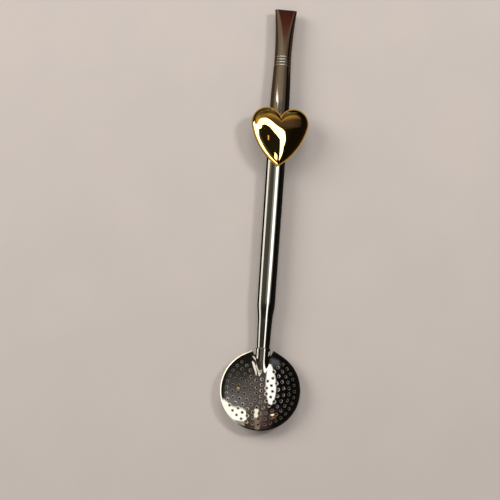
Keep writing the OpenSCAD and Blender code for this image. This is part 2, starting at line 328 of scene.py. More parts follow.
# Rings across an engraved line, where its sides start and how far they slope, in halves of its width
LINE_RINGS = (-1.3, -1.1, -0.92, -0.2, -0.06, 0.06, 0.2, 0.92, 1.1, 1.3)
LINE_EDGE = 1.06
LINE_RUN = 0.94
# Share of a line's width that other rings keep away from its middle
LINE_CLEAR = 0.75


def slot_ring(r, flat, y):
    """Ring round the stem at y: two half circles of radius r with a straight stretch between them."""
    a = 2 * np.pi * (np.arange(RING_POINTS) + 0.5) / RING_POINTS
    x = r * np.cos(a) + np.sign(np.cos(a)) * flat / 2
    return np.stack([x, np.full(RING_POINTS, y), AXIS_Z + r * np.sin(a)], 1)


def mouth_ring(t, inset):
    """Ring at the share t of the mouthpiece's length, set in from the outside."""
    p = t**FLARE
    r = mix(WAIST_R, MOUTH_T / 2, p) - inset
    return slot_ring(r, mix(0, MOUTH_W - MOUTH_T, p), mix(MOUTH_Y, REACH, t))


def outside_stops(cuts):
    """Places of the rings on the outside up to the mouthpiece, with closer ones at the engraved lines."""
    stops = [TAIL_END, NECK_MOUTH - TAIL_STEP]
    for start, end, count in (
        (NECK_MOUTH, SWAGE_FOOT, 12),
        (SWAGE_FOOT, SWAGE_TOP, 26),
        (SWAGE_TOP, WAIST_FOOT, 18),
        (WAIST_FOOT, MOUTH_Y, 60),
    ):
        stops += list(np.linspace(start, end, count)[:-1])
    stops = [s for s in stops if all(abs(s - c) > LINE_W * LINE_CLEAR for c in cuts)]
    for c in cuts:
        stops += [c + d * LINE_W / 2 for d in LINE_RINGS]
    return sorted(stops)


def bore_stops():
    """Places of the rings in the bore, from the waist down to the tail."""
    waist = [WAIST_FOOT + WAIST_L * i / BORE_STOPS for i in reversed(range(BORE_STOPS))]
    swage = list(np.linspace(SWAGE_TOP, SWAGE_FOOT, BORE_STOPS))
    return waist + swage + [NECK_MOUTH, TAIL_END]


def stem_rings():
    """Rings up the outside, over the lip and down the bore, and how deeply each is engraved, from 0 to 1."""
    cuts = [MOUTH_Y - LINE_PITCH * (i + 1) for i in range(LINES)]
    rings, marks = [], []
    for s in outside_stops(cuts):
        near = min(abs(s - c) for c in cuts) / (LINE_W / 2)
        dip = LINE_DEPTH * float(np.clip(LINE_EDGE - near, 0, LINE_RUN)) / LINE_RUN
        rings.append(slot_ring(tube_r(s) - dip, 0, s))
        marks.append(dip / LINE_DEPTH)
    last = 1 - LIP_SOFT / MOUTH_L
    rings += [mouth_ring(t, 0) for t in np.linspace(0, last, MOUTH_RINGS)]
    for a in np.linspace(0, math.pi, LIP_RINGS):
        r = MOUTH_T / 2 - WALL / 2 + WALL / 2 * math.cos(a)
        rings.append(slot_ring(r, MOUTH_W - MOUTH_T, REACH - LIP_SOFT + LIP_SOFT * math.sin(a)))
    rings += [mouth_ring(t, WALL) for t in np.linspace(last, 0, MOUTH_BORE_RINGS)[1:]]
    rings += [slot_ring(tube_r(s) - WALL, 0, s) for s in bore_stops()]
    return rings, marks + [0.0] * (len(rings) - len(marks))


rings, marks = stem_rings()
faces = loop_faces(len(rings), RING_POINTS, closed=True)
stem = add_piece("stem_drawn", np.concatenate(rings), faces, ENGRAVED, sharp_deg=STEM_SHARP_DEG)
set_pressed(stem, np.repeat(marks, RING_POINTS))
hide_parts("stem_tube")

# Front shell of the strainer: a pressed sheet with dimpled holes

# Where the neck rises out of the dome, and the rounding between them, which ends near the relief cuts
NECK_START = 5.0
NECK_FULL = 8.0
NECK_BLEND = 0.9
NECK_BLEND_LEAST = 0.02
BLEND_END = (-0.4, 0.8)
# The neck's height goes on below the rim beside it, this steeply and this far out
NECK_FALL = 4
NECK_FALL_WIDTH = 1.0
# The dimple is a smooth bowl, a little wider and half as deep as the dimple in the solids
DIMPLE_SPREAD = 1.12
DIMPLE_SHARE = 0.5
DIMPLE_BULGE = 0.6


def sheet_height(x, y, dome_out=DOME_R):
    """Height of the outside of the pressed sheet over the plane of the rim; the dome ends at dome_out."""
    r2 = x * x + y * y
    dome = BALL_Z + np.sqrt(np.maximum(BALL_R**2 - r2, 1))
    z = np.where(r2 < dome_out**2, dome, SHEET)
    beside = np.abs(x) - NECK_R
    neck = np.sqrt(np.maximum(NECK_R**2 - x * x, 0))
    neck = np.where(beside < 0, neck, -np.minimum(beside, NECK_FALL_WIDTH) * NECK_FALL)
    fade = 1 - step(y, CUT_Y + BLEND_END[0], CUT_Y + BLEND_END[1])
    joined = soft_max(z, neck, NECK_BLEND * fade + NECK_BLEND_LEAST)
    return z + (joined - z) * step(y, NECK_START, NECK_FULL)


def hole_places():
    """Middles of the holes: one in the centre, closed rings, and rings that are open at the neck."""
    places = [(0.0, 0.0)]
    for k in range(1, FULL_RINGS + 1):
        count = FIRST_RING_HOLES * k
        places += [(k * RING, 2 * math.pi * i / count) for i in range(count)]
    for k, (count, gap) in enumerate(zip(ARC_HOLES, ARC_GAP), FULL_RINGS + 1):
        g = math.radians(gap)
        places += [(k * RING, mix(g, 2 * math.pi - g, i / (count - 1))) for i in range(count)]
    return [(r * math.cos(a + math.pi / 2), r * math.sin(a + math.pi / 2)) for r, a in places]


HOLES = np.array(hole_places())


def hole_frame(hx, hy):
    """How much the slope of the dome narrows a hole, and the direction in which it does."""
    r = math.hypot(hx, hy)
    tilt = math.sqrt(1 - (r / BALL_R) ** 2)
    ex, ey = (hx / r, hy / r) if r > 0 else (1.0, 0.0)
    return tilt, ex, ey


def dimple(x, y):
    """Depth by which the sheet is pressed in round the nearest hole, and the distance to its middle."""
    d2 = np.full_like(x, FAR_AWAY)
    for hx, hy in HOLES:
        tilt, ex, ey = hole_frame(hx, hy)
        u = ((x - hx) * ex + (y - hy) * ey) / tilt
        v = -(x - hx) * ey + (y - hy) * ex
        d2 = np.minimum(d2, u * u + v * v)
    d = np.sqrt(d2)
    t = np.clip((d - HOLE_R) / (DIMPLE_R * DIMPLE_SPREAD - HOLE_R), 0, 1)
    return DIMPLE_D * DIMPLE_SHARE * (1 - t) ** 2 * (1 + DIMPLE_BULGE * t), d


def inside(p, outline):
    """Which of the points lie inside a closed outline."""
    hit = np.zeros(len(p), bool)
    for (x1, y1), (x2, y2) in zip(outline, np.roll(outline, -1, 0)):
        if y1 == y2:
            continue
        spans = (y1 > p[:, 1]) != (y2 > p[:, 1])
        hit ^= spans & (p[:, 0] < (x2 - x1) * (p[:, 1] - y1) / (y2 - y1) + x1)
    return hit


def gap_to(p, outline):
    """Distance of each point from a closed outline."""
    best = np.full(len(p), FAR_AWAY)
    for a, b in zip(outline, np.roll(outline, -1, 0)):
        d = b - a
        t = np.clip(((p - a) @ d) / max(d @ d, TINY), 0, 1)
        best = np.minimum(best, np.linalg.norm(p - a - t[:, None] * d, axis=1))
    return best


# Points along the edge of the sheet, and half of the turn that they take over the neck's mouth, in radians
NECK_POINTS = 12
CUT_POINTS = 10
SHOULDER_POINTS = 14
FLANGE_POINTS = 90
MOUTH_POINTS = 21
MOUTH_TURN = 1.5


def line(start, end, count):
    """Points on a straight line, without its start."""
    return [(mix(start[0], end[0], t), mix(start[1], end[1], t)) for t in np.linspace(0, 1, count)[1:]]


def shell_outline():
    """Edge of the sheet from the front, clockwise: mouth of the neck, relief cuts, shoulders and flange."""
    foot = (FLANGE_R * math.sin(SLOPE), FLANGE_R * math.cos(SLOPE))
    tip = (TIP_X, foot[1] + (foot[0] - TIP_X) / math.cos(SLOPE) * math.sin(SLOPE))
    cut = (NECK_R, CUT_Y)
    corner = (NECK_R, NECK_MOUTH)
    half = [corner] + line(corner, cut, NECK_POINTS) + line(cut, tip, CUT_POINTS)
    half += line(tip, foot, SHOULDER_POINTS)
    turns = np.linspace(SLOPE, math.pi, FLANGE_POINTS)[1:]
    half += [(FLANGE_R * math.sin(a), FLANGE_R * math.cos(a)) for a in turns]
    turns = np.linspace(-MOUTH_TURN, MOUTH_TURN, MOUTH_POINTS)
    mouth = [(NECK_R * math.sin(a), NECK_MOUTH) for a in turns]
    return mouth + half + [(-x, y) for x, y in half[-2::-1]]


# Points of the sheet: rings round each hole, a grid of triangles between them, and closer rows on the neck
HOLE_POINTS = 24
HOLE_RINGS = (HOLE_R, 0.5, 0.6, 0.72, 0.86, 1.0)
HOLE_CLEAR = 1.12
GRID_PITCH = 0.5
GRID_ROW = 0.866
GRID_COLUMNS = range(-40, 41)
GRID_ROWS = range(-40, 46)
NECK_ROWS = np.arange(6.0, NECK_MOUTH - 0.1, 0.35)
NECK_TURNS = np.radians(np.linspace(-86, 86, 37))
# No grid point lies closer to the edge than this
EDGE_CLEAR = 0.12
# Triangles whose middle is nearer to a hole's middle than this share of its radius fill the hole
HOLE_KEEP = 0.985
MERGE_GAP = 1e-6
# Half of the distance over which a slope is measured
PROBE = 0.004
# Least upward part of a normal in working out the sheet's thickness, and the least thickness
STEEPEST = 0.35
THINNEST = 0.001


def grid_points(outline):
    """Points of the sheet away from its holes and its edge."""
    grid = []
    for j in GRID_ROWS:
        shift = (j % 2) * GRID_PITCH / 2
        grid += [(i * GRID_PITCH + shift, j * GRID_PITCH * GRID_ROW) for i in GRID_COLUMNS]
    grid += [(NECK_R * math.sin(a), y) for y in NECK_ROWS for a in NECK_TURNS]
    grid = np.array(grid)
    grid = grid[inside(grid, outline) & (gap_to(grid, outline) > EDGE_CLEAR)]
    near = np.hypot(grid[:, None, 0] - HOLES[None, :, 0], grid[:, None, 1] - HOLES[None, :, 1])
    return grid[np.min(near, 1) > HOLE_CLEAR]


def closed_loop(start, count):
    """Edges that join count points in turn, from the point numbered start."""
    return [(start + i, start + (i + 1) % count) for i in range(count)]


def sheet_triangles():
    """Flat points of the sheet and its triangles, counterclockwise from the front and without the holes."""
    pts = shell_outline()
    outline = np.array(pts)
    edges = closed_loop(0, len(pts))
    for hx, hy in HOLES:
        tilt, ex, ey = hole_frame(hx, hy)
        edges += closed_loop(len(pts), HOLE_POINTS)
        for k, radius in enumerate(HOLE_RINGS):
            for i in range(HOLE_POINTS):
                a = 2 * math.pi * (i + 0.5 * (k % 2)) / HOLE_POINTS
                u, v = radius * math.cos(a) * tilt, radius * math.sin(a)
                pts.append((hx + u * ex - v * ey, hy + u * ey + v * ex))
    pts += [tuple(p) for p in grid_points(outline)]
    out = delaunay_2d_cdt([Vector(p) for p in pts], edges, [], 0, MERGE_GAP)
    flat = np.array([tuple(p) for p in out[0]])
    tris = np.array([f for f in out[2] if len(f) == 3])
    mid = flat[tris].mean(1)
    tris = tris[inside(mid, outline) & (dimple(mid[:, 0], mid[:, 1])[1] > HOLE_R * HOLE_KEEP)]
    e1 = flat[tris[:, 1]] - flat[tris[:, 0]]
    e2 = flat[tris[:, 2]] - flat[tris[:, 0]]
    area = e1[:, 0] * e2[:, 1] - e1[:, 1] * e2[:, 0]
    return flat, np.where((area < 0)[:, None], tris[:, ::-1], tris)[np.abs(area) > TINY]


def border(tris):
    """Edges that only one triangle has, in the direction in which it has them."""
    directed = {}
    for t in tris:
        for a, b in ((t[0], t[1]), (t[1], t[2]), (t[2], t[0])):
            directed[(a, b)] = True
    return [(a, b) for a, b in directed if (b, a) not in directed]


def outside(x, y):
    """Height that gives the shading: the narrow flange keeps the dome's slope, so no ragged line shows."""
    return sheet_height(x, y, BALL_R) - dimple(x, y)[0]


def outside_normals(x, y):
    gx = (outside(x + PROBE, y) - outside(x - PROBE, y)) / (2 * PROBE)
    gy = (outside(x, y + PROBE) - outside(x, y - PROBE)) / (2 * PROBE)
    normal = np.stack([-gx, -gy, np.ones_like(gx)], 1)
    return normal / np.linalg.norm(normal, axis=1)[:, None]


def front_shell():
    """The sheet with both sides and its cut edges: points, faces, normals and the marks of the press."""
    flat, tris = sheet_triangles()
    x, y = flat[:, 0], flat[:, 1]
    height = sheet_height(x, y)
    dent, hole_gap = dimple(x, y)
    normal = outside_normals(x, y)
    thick = np.minimum(SHEET / np.maximum(normal[:, 2], STEEPEST), np.maximum(height, THINNEST))
    upper = np.stack([x, y, height - dent + AXIS_Z], 1)
    lower = np.stack([x, y, height + AXIS_Z - thick], 1)
    count = len(flat)
    faces = [tuple(t) for t in tris] + [tuple(t[::-1] + count) for t in tris]
    sides, side_normals = [], []
    for a, b in border(tris):
        along = flat[b] - flat[a]
        out = np.array([along[1], -along[0], 0.0])
        out /= max(np.linalg.norm(out), TINY)
        first = 2 * count + len(sides)
        faces.append((first, first + 1, first + 2, first + 3))
        sides += [upper[a], lower[a], lower[b], upper[b]]
        side_normals += [out] * 4
    pressed = np.zeros(2 * count + len(sides))
    pressed[:count] = np.exp(-(((hole_gap - PRESS_R) / PRESS_W) ** 2))
    verts = np.concatenate([upper, lower, np.array(sides)])
    return verts, faces, np.concatenate([normal, -normal, np.array(side_normals)]), pressed


verts, faces, normals, pressed = front_shell()
shell = add_piece("strainer_front_pressed", verts, faces, PRESSED, normals)
set_pressed(shell, pressed)
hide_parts("strainer_front")

# Heart: domed front on its back plate
LOBE_POINTS = 56
SIDE_POINTS = 44
DOME_RINGS = 56
DOME_TURN = 89.0  # angle of the last ring, in degrees: the top is at 90
# Towards the top, the rings go from the heart's outline to a circle of this radius, by this power
CROWN_R = LOBE_R + HEART_DROP / 4
CROWN_POWER = 1.2


def heart_half(inset):
    """Right half of the heart's outline, from the notch to the point, set in from the plate's edge."""
    lobe_x = HEART_W / 2 - LOBE_R
    dist = math.hypot(lobe_x, HEART_DROP)
    leg = SIDE_R - LOBE_R
    lean = (SIDE_R**2 - leg**2 - dist**2) / (2 * leg * dist)
    turn = math.atan2(lobe_x, HEART_DROP) + math.asin(lean)
    side_x, side_y = leg * math.cos(turn) - lobe_x, leg * math.sin(turn)
    lobe, side = LOBE_R - inset, SIDE_R - inset
    notch = math.acos(min(lobe_x / lobe, 1))
    point = math.acos(side_x / side)
    pts = [
        (lobe_x + lobe * math.cos(a), lobe * math.sin(a))
        for a in np.linspace(math.pi - notch, -turn, LOBE_POINTS)
    ]
    pts += [
        (-side_x + side * math.cos(a), side_y + side * math.sin(a))
        for a in np.linspace(-turn, -point, SIDE_POINTS)[1:]
    ]
    return pts


def heart_dome():
    """The puffed front in rings from its edge to the top."""
    half = heart_half(PLATE_EDGE)
    outline = np.array(half + [(-x, y) for x, y in half[-2:0:-1]])
    q = outline - np.array([0, HEART_MID])
    size = np.linalg.norm(q, axis=1)
    n = len(q)
    rings = []
    for i in range(DOME_RINGS):
        s = math.cos(math.radians(DOME_TURN * i / (DOME_RINGS - 1)))
        blunt = mix(CROWN_R, size, s**CROWN_POWER)
        v = q / size[:, None] * (blunt * s)[:, None]
        z = PLATE_T + HEART_RISE * (1 - s**PUFF_EDGE) ** PUFF_CROWN
        rings.append(np.stack([v[:, 0], v[:, 1] + HEART_MID, np.full(n, z)], 1))
    top = np.array([[0, HEART_MID, PLATE_T + HEART_RISE]])
    pts = np.concatenate(rings + [top]) + np.array([HEART_SIDE, HEART_Y, PLATE_Z])
    faces = loop_faces(DOME_RINGS, n, closed=False)
    last = (DOME_RINGS - 1) * n
    faces += [(last + i, DOME_RINGS * n, last + (i + 1) % n) for i in range(n)]
    return pts, faces


verts, faces = heart_dome()
dome = add_piece("heart_front_domed", verts, faces, GOLD)
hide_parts("heart_front")

# Nodes that are shown as the CAD solids
for node, mat in (
    ("strainer_back", STEEL),
    ("neck_braze", BRAZE),
    ("heart_back", GOLD),
    ("heart_solder_left", SOLDER),
    ("heart_solder_right", SOLDER),
):
    obj = bpy.data.objects[node]
    obj.data.materials.clear()
    obj.data.materials.append(mat)

# Table, and deep shade under the strainer, which is all that shows through holes that lie in line
TABLE_HALF = 1500
SHADE_R = 15.5
SHADE_Z = 0.02
SHADE_POINTS = 48


def stage_mesh(name, verts, faces, material):
    """A mesh that isn't part of the object, from points in millimetres."""
    mesh = bpy.data.meshes.new(name)
    mesh.from_pydata([tuple(v * MM for v in p) for p in verts], [], faces)
    mesh.materials.append(material)
    obj = bpy.data.objects.new(name, mesh)
    bpy.context.scene.collection.objects.link(obj)
    return obj


def level(z, *corners):
    """Corners at one height."""
    return [(x, y, z) for x, y in corners]


def box_corners(half):
    return (-half, -half), (half, -half), (half, half), (-half, half)


table_mat, tree, bsdf = nodes_of("pale laminate")
bsdf.inputs["Roughness"].default_value = 0.6
bsdf.inputs["Specular IOR Level"].default_value = 0.25
mottle = ramp(tree, noise(tree, scale=30, detail=6), lo=0.3, hi=0.7, out_lo=0, out_hi=1)
laminate = blend(tree, (0.575, 0.51, 0.468), (0.555, 0.497, 0.461), mottle)
tree.links.new(laminate, bsdf.inputs["Base Color"])
stage_mesh("table", level(0, *box_corners(TABLE_HALF)), [(0, 1, 2, 3)], table_mat)

shade_mat, tree, bsdf = nodes_of("shade under the strainer")
bsdf.inputs["Base Color"].default_value = (0.03, 0.026, 0.024, 1)
bsdf.inputs["Roughness"].default_value = 0.9
turns = [2 * math.pi * i / SHADE_POINTS for i in range(SHADE_POINTS)]
disc = [(SHADE_R * math.cos(a), SHADE_R * math.sin(a)) for a in turns]
stage_mesh("shade under the strainer", level(SHADE_Z, *disc), [tuple(range(SHADE_POINTS))], shade_mat)

# Lamps that the polished metal doesn't mirror: a narrow one, a broad one and one beyond the mouthpiece
LAMP_WHITE = (1, 0.985, 0.965)
LAMP_AIM = Vector((0, 0.1, 0))


def lamp(name, place, width, watts):
    light = bpy.data.lights.new(name, "AREA")
    light.shape = "SQUARE"
    light.size = width
    light.energy = watts
    light.color = LAMP_WHITE
    obj = bpy.data.objects.new(name, light)
    obj.location = place
    obj.rotation_euler = (LAMP_AIM - obj.location).to_track_quat("-Z", "Y").to_euler()
    obj.visible_glossy = False
    obj.visible_camera = False
    bpy.context.scene.collection.objects.link(obj)


lamp("right lamp", place=(0.44, 0.4, 0.64), width=0.15, watts=2.3)
lamp("left lamp", place=(-0.85, 0.45, 0.6), width=0.55, watts=8.0)
lamp("far lamp", place=(-0.05, 0.75, 0.7), width=0.4, watts=2.2)

# Glowing cards and dim wall patches that are seen only as reflections in the polished metal

# Level cards hang at these heights, each a little above the last, because no two may lie in one plane
card_heights = itertools.count(292.8, 0.8)
DARK = (0, 0, 0)


def card(name, verts, faces, tones, seen_by, solid=False):
    """A card with one colour per point, for the pieces in seen_by, or for all where that is None.

    Solid cards hide what is behind them, and the others only add to it."""
    mat = bpy.data.materials.new(name)
    mat.use_nodes = True
    mat.cycles.emission_sampling = "NONE"
    tree = mat.node_tree
    tree.nodes.remove(tree.nodes["Principled BSDF"])
    emit = tree.nodes.new("ShaderNodeEmission")
    tone = tree.nodes.new("ShaderNodeAttribute")
    tone.attribute_name = "tone"
    tree.links.new(tone.outputs["Color"], emit.inputs["Color"])
    shown = emit.outputs[0]
    if not solid:
        clear = tree.nodes.new("ShaderNodeBsdfTransparent")
        both = tree.nodes.new("ShaderNodeAddShader")
        tree.links.new(emit.outputs[0], both.inputs[0])
        tree.links.new(clear.outputs[0], both.inputs[1])
        shown = both.outputs[0]
    tree.links.new(shown, tree.nodes["Material Output"].inputs["Surface"])
    obj = stage_mesh(name, verts, faces, mat)
    attr = obj.data.color_attributes.new("tone", "FLOAT_COLOR", "POINT")
    attr.data.foreach_set("color", [c for t in tones for c in (*t, 1.0)])
    obj.visible_camera = False
    obj.visible_diffuse = False
    obj.visible_shadow = False
    obj.visible_transmission = False
    if seen_by:
        group = bpy.data.collections.new(name + " receivers")
        for piece in seen_by:
            group.objects.link(piece)
        obj.light_linking.receiver_collection = group


def row_faces(rows, columns):
    """Quads of a sheet whose points run row by row."""
    return [
        (columns * j + i, columns * j + i + 1, columns * (j + 1) + i + 1, columns * (j + 1) + i)
        for j in range(rows - 1)
        for i in range(columns - 1)
    ]


def panel(name, corners, tone, seen_by, solid=False):
    """A card with four corners and one colour."""
    card(name, corners, [(0, 1, 2, 3)], [tone] * 4, seen_by, solid)


def round_wall(name, radius, heights, angles, tones, seen_by):
    """An upright card on part of a circle round the strainer, with one colour for each angle."""
    turns = [math.radians(a) for a in angles]
    verts = [(radius * math.cos(a), radius * math.sin(a), z) for z in heights for a in turns]
    card(name, verts, row_faces(len(heights), len(turns)), tones * len(heights), seen_by)


def strip(name, left, right, colour, strength, seen_by, soft=3.0):
    """A level card between two edges of equal length, fading out over a soft margin on both sides."""
    z = next(card_heights)
    tone = tuple(c * strength for c in colour)
    across = [DARK, tone, tone, DARK]
    verts, tones = [], []
    for a, b in zip(left, right):
        a, b = np.array(a, float), np.array(b, float)
        out = (b - a) / np.linalg.norm(b - a) * soft
        verts += level(z, a - out, a, b, b + out)
        tones += across
    card(name, verts, row_faces(len(left), len(across)), tones, seen_by)


def glow(name, xs, rows, seen_by, fade_x, fade_y):
    """A level card over xs whose colour changes along y by (y, colour) rows, fading out on all sides."""
    z = next(card_heights)
    ys = [rows[0][0] - fade_y[0]] + [y for y, _ in rows] + [rows[-1][0] + fade_y[1]]
    columns = [xs[0] - fade_x[0], xs[0], xs[1], xs[1] + fade_x[1]]
    verts = [(x, y, z) for y in ys for x in columns]
    tones = [DARK] * len(columns)
    for _, colour in rows:
        tones += [DARK, colour, colour, DARK]
    tones += [DARK] * len(columns)
    card(name, verts, row_faces(len(ys), len(columns)), tones, seen_by)


# Pieces that a card is made for
PLATE = [bpy.data.objects["heart_back"]]
HEART = [dome]
STEM = [stem] + [bpy.data.objects[n] for n in ("neck_braze", "heart_solder_left", "heart_solder_right")]
RIM = [bpy.data.objects["strainer_back"]]
SHELL = [shell]

# Windows, doorways and lamps, placed in millimetres
DOOR_X = -600
WARM_WHITE = (1, 0.94, 0.78)
HAZE = (0.4, 0.39, 0.34)
strip(
    "window",
    left=[(120, -126), (102, -92), (86, -40), (77, 0), (74, 60), (78, 110), (88, 180), (98, 255)],
    right=[(128, -126), (142, -92), (149, -40), (151, 0), (150, 60), (146, 110), (134, 180), (118, 255)],
    colour=(1, 0.97, 0.88),
    strength=1.75,
    seen_by=SHELL,
    soft=16,
)
strip(
    "window over the stem",
    left=[(30, -60), (32, 40), (40, 75), (40, 152), (40, 164)],
    right=[(120, -60), (128, 40), (185, 75), (185, 152), (185, 164)],
    colour=(1, 0.99, 0.93),
    strength=1.75,
    seen_by=STEM,
    soft=14,
)
glow(
    "haze round the window",
    xs=(-10, 225),
    rows=((75, HAZE), (152, HAZE)),
    seen_by=STEM,
    fade_x=(100, 105),
    fade_y=(60, 12),
)
strip(
    "low window",
    left=[
        (-560, -185), (-470, -172), (-360, -175), (-300, -196),
        (-250, -220), (-180, -214), (-120, -208), (-88, -230),
    ],
    right=[
        (-520, -330), (-450, -390), (-350, -410), (-295, -410),
        (-230, -390), (-160, -372), (-105, -345), (-82, -290),
    ],
    colour=(1, 0.95, 0.8),
    strength=1.65,
    seen_by=SHELL,
    soft=40,
)
strip(
    "light below the low window",
    left=[(-340, -400), (-220, -385), (-115, -350)],
    right=[(-340, -560), (-220, -560), (-115, -480)],
    colour=(1, 0.93, 0.72),
    strength=0.4,
    seen_by=SHELL,
    soft=50,
)
strip(
    "far bar",
    left=[(10, -285), (-4, -268), (-8, -182), (4, -158)],
    right=[(14, -285), (26, -268), (22, -182), (10, -158)],
    colour=(1, 0.93, 0.74),
    strength=1.3,
    seen_by=SHELL,
    soft=9,
)
strip(
    "tail of the far bar",
    left=[(2, -290), (20, -420), (40, -600)],
    right=[(32, -290), (60, -420), (90, -600)],
    colour=(1, 0.78, 0.55),
    strength=0.2,
    seen_by=SHELL,
    soft=16,
)
strip(
    "small lamp",
    left=[(-178, -10), (-178, 14)],
    right=[(-160, -10), (-160, 14)],
    colour=(1, 0.5, 0.1),
    strength=0.8,
    seen_by=SHELL,
    soft=6,
)
strip(
    "end lamp",
    left=[(166, -268), (166, -240)],
    right=[(196, -268), (196, -240)],
    colour=(1, 0.72, 0.5),
    strength=2.0,
    seen_by=SHELL,
    soft=12,
)
strip(
    "amber lamp",
    left=[(190, -325), (190, -285)],
    right=[(245, -325), (245, -285)],
    colour=(1, 0.5, 0.12),
    strength=0.2,
    seen_by=SHELL,
    soft=16,
)
strip(
    "skirt window",
    left=[(-66, 288), (-62, 262), (-44, 200), (-26, 150), (-18, 118)],
    right=[(-62, 288), (-44, 262), (-27, 200), (-17, 150), (-16, 118)],
    colour=WARM_WHITE,
    strength=1.3,
    seen_by=SHELL,
    soft=4,
)
strip(
    "skirt window beside it",
    left=[(-28, 232), (-4, 160), (8, 114)],
    right=[(-8, 232), (13, 160), (12, 114)],
    colour=WARM_WHITE,
    strength=1.2,
    seen_by=SHELL,
    soft=4,
)
strip(
    "bar over the neck",
    left=[(-68, 383), (-26, 291)],
    right=[(-58, 383), (-8, 291)],
    colour=WARM_WHITE,
    strength=1.3,
    seen_by=SHELL,
    soft=5,
)
strip(
    "skirt streak",
    left=[(4, 232), (22, 142)],
    right=[(36, 232), (60, 142)],
    colour=(1, 0.92, 0.7),
    strength=0.32,
    seen_by=SHELL,
    soft=18,
)
panel(
    "left doorway",
    corners=[(DOOR_X, -250, 0), (DOOR_X, 185, 0), (DOOR_X, 185, 55), (DOOR_X, -250, 55)],
    tone=(1.5, 1.45, 1.3),
    seen_by=STEM + SHELL,
)
RIM_ANGLES = range(100, 236, 15)
round_wall(
    "light round the rim",
    radius=600,
    heights=(0, 200),
    angles=RIM_ANGLES,
    tones=[(5.0, 4.8, 4.1)] * len(RIM_ANGLES),
    seen_by=RIM,
)
RIM_LIGHT = ((-70, 0.0), (-58, 2.4), (-30, 2.8), (0, 2.6), (25, 2.2), (42, 1.2), (58, 0.0))
round_wall(
    "window across from the rim",
    radius=700,
    heights=(160, 460),
    angles=[angle for angle, _ in RIM_LIGHT],
    tones=[(g, 0.94 * g, 0.74 * g) for _, g in RIM_LIGHT],
    seen_by=RIM,
)
panel(
    "window behind the camera",
    corners=[(-700, -600, 20), (120, -600, 20), (120, -600, 700), (-700, -600, 700)],
    tone=(1.7, 1.56, 1.2),
    seen_by=STEM,
)
strip(
    "patch over the heart",
    left=[(-420, 222), (-150, 180)],
    right=[(-420, 250), (-150, 188)],
    colour=(1, 0.99, 0.95),
    strength=1.8,
    seen_by=STEM,
)
strip(
    "heart window",
    left=[
        (-900, 20), (-600, 62), (-400, 96), (-300, 126), (-225, 174), (-150, 200), (-80, 180), (0, 130),
        (24, 96), (60, 52), (100, 0), (150, -62), (200, -118), (250, -190), (300, -262), (450, -432),
    ],
    right=[
        (-900, 60), (-600, 125), (-400, 235), (-300, 308), (-225, 322), (-130, 318), (-70, 275), (0, 200),
        (58, 152), (84, 100), (122, 0), (166, -54), (208, -105), (262, -170), (316, -240), (470, -415),
    ],
    colour=(1, 0.97, 0.9),
    strength=4.2,
    seen_by=HEART,
)
panel(
    "heart doorway",
    corners=[(DOOR_X - 2, 45, 290), (DOOR_X - 2, 125, 290), (DOOR_X - 2, 80, 0), (DOOR_X - 2, -110, 0)],
    tone=(4.2, 4.1, 3.8),
    seen_by=HEART,
)
strip(
    "heart lamp",
    left=[(-172, 22), (-146, 18)],
    right=[(-142, 84), (-110, 84)],
    colour=(1, 0.6, 0.25),
    strength=0.9,
    seen_by=HEART,
)
strip(
    "heart streak",
    left=[(-126, -98), (-192, -186), (-372, -420)],
    right=[(-112, -108), (-174, -203), (-330, -430)],
    colour=(1, 0.93, 0.75),
    strength=3.6,
    seen_by=HEART,
)

# Dim walls and ceilings, each for the piece that shows it
PURPLE = (0.05, 0.026, 0.028)
BLUE_GREY = (0.12, 0.12, 0.14)
GREY = (0.062, 0.061, 0.044)
DUSK = (0.03, 0.029, 0.022)
TAN = (0.27, 0.2, 0.12)
BROWN = (0.2, 0.13, 0.065)
RED = (0.09, 0.013, 0.004)
NEUTRAL = (0.36, 0.35, 0.33)
PLATE_GOLD = (0.4, 0.3, 0.12)
glow(
    "grey ceiling over the strainer",
    xs=(-330, -180),
    rows=(
        (-420, (0.06, 0.05, 0.035)),
        (-150, (0.21, 0.195, 0.195)),
        (0, (0.09, 0.083, 0.078)),
        (140, (0.03, 0.03, 0.027)),
    ),
    seen_by=SHELL,
    fade_x=(90, 180),
    fade_y=(60, 160),
)
glow(
    "brown ceiling over the strainer",
    xs=(0, 70),
    rows=(
        (-600, (0.08, 0.05, 0.035)),
        (-420, (0.09, 0.052, 0.03)),
        (-140, (0.11, 0.085, 0.075)),
        (60, (0.11, 0.088, 0.078)),
    ),
    seen_by=SHELL,
    fade_x=(180, 60),
    fade_y=(60, 190),
)
glow(
    "purple wall over the strainer",
    xs=(80, 180),
    rows=((-560, PURPLE), (-230, PURPLE)),
    seen_by=SHELL,
    fade_x=(60, 110),
    fade_y=(60, 60),
)
glow(
    "wall beside the neck",
    xs=(165, 235),
    rows=((320, BLUE_GREY), (350, BLUE_GREY)),
    seen_by=SHELL,
    fade_x=(45, 65),
    fade_y=(110, 70),
)
glow(
    "grey ceiling over the stem",
    xs=(-500, 200),
    rows=((20, DUSK), (75, GREY), (165, GREY)),
    seen_by=STEM,
    fade_x=(700, 220),
    fade_y=(100, 25),
)
glow(
    "tan wall over the stem",
    xs=(-1200, -80),
    rows=((190, TAN), (245, TAN), (290, BROWN), (400, BROWN)),
    seen_by=STEM,
    fade_x=(60, 80),
    fade_y=(25, 70),
)
glow(
    "red wall over the mouthpiece",
    xs=(0, 75),
    rows=((190, TAN), (290, (0.11, 0.045, 0.025)), (340, RED)),
    seen_by=STEM,
    fade_x=(80, 85),
    fade_y=(25, 130),
)
glow(
    "dim wall over the stem",
    xs=(160, 350),
    rows=((190, (0.1, 0.07, 0.055)), (400, (0.12, 0.08, 0.045))),
    seen_by=STEM,
    fade_x=(85, 300),
    fade_y=(25, 70),
)
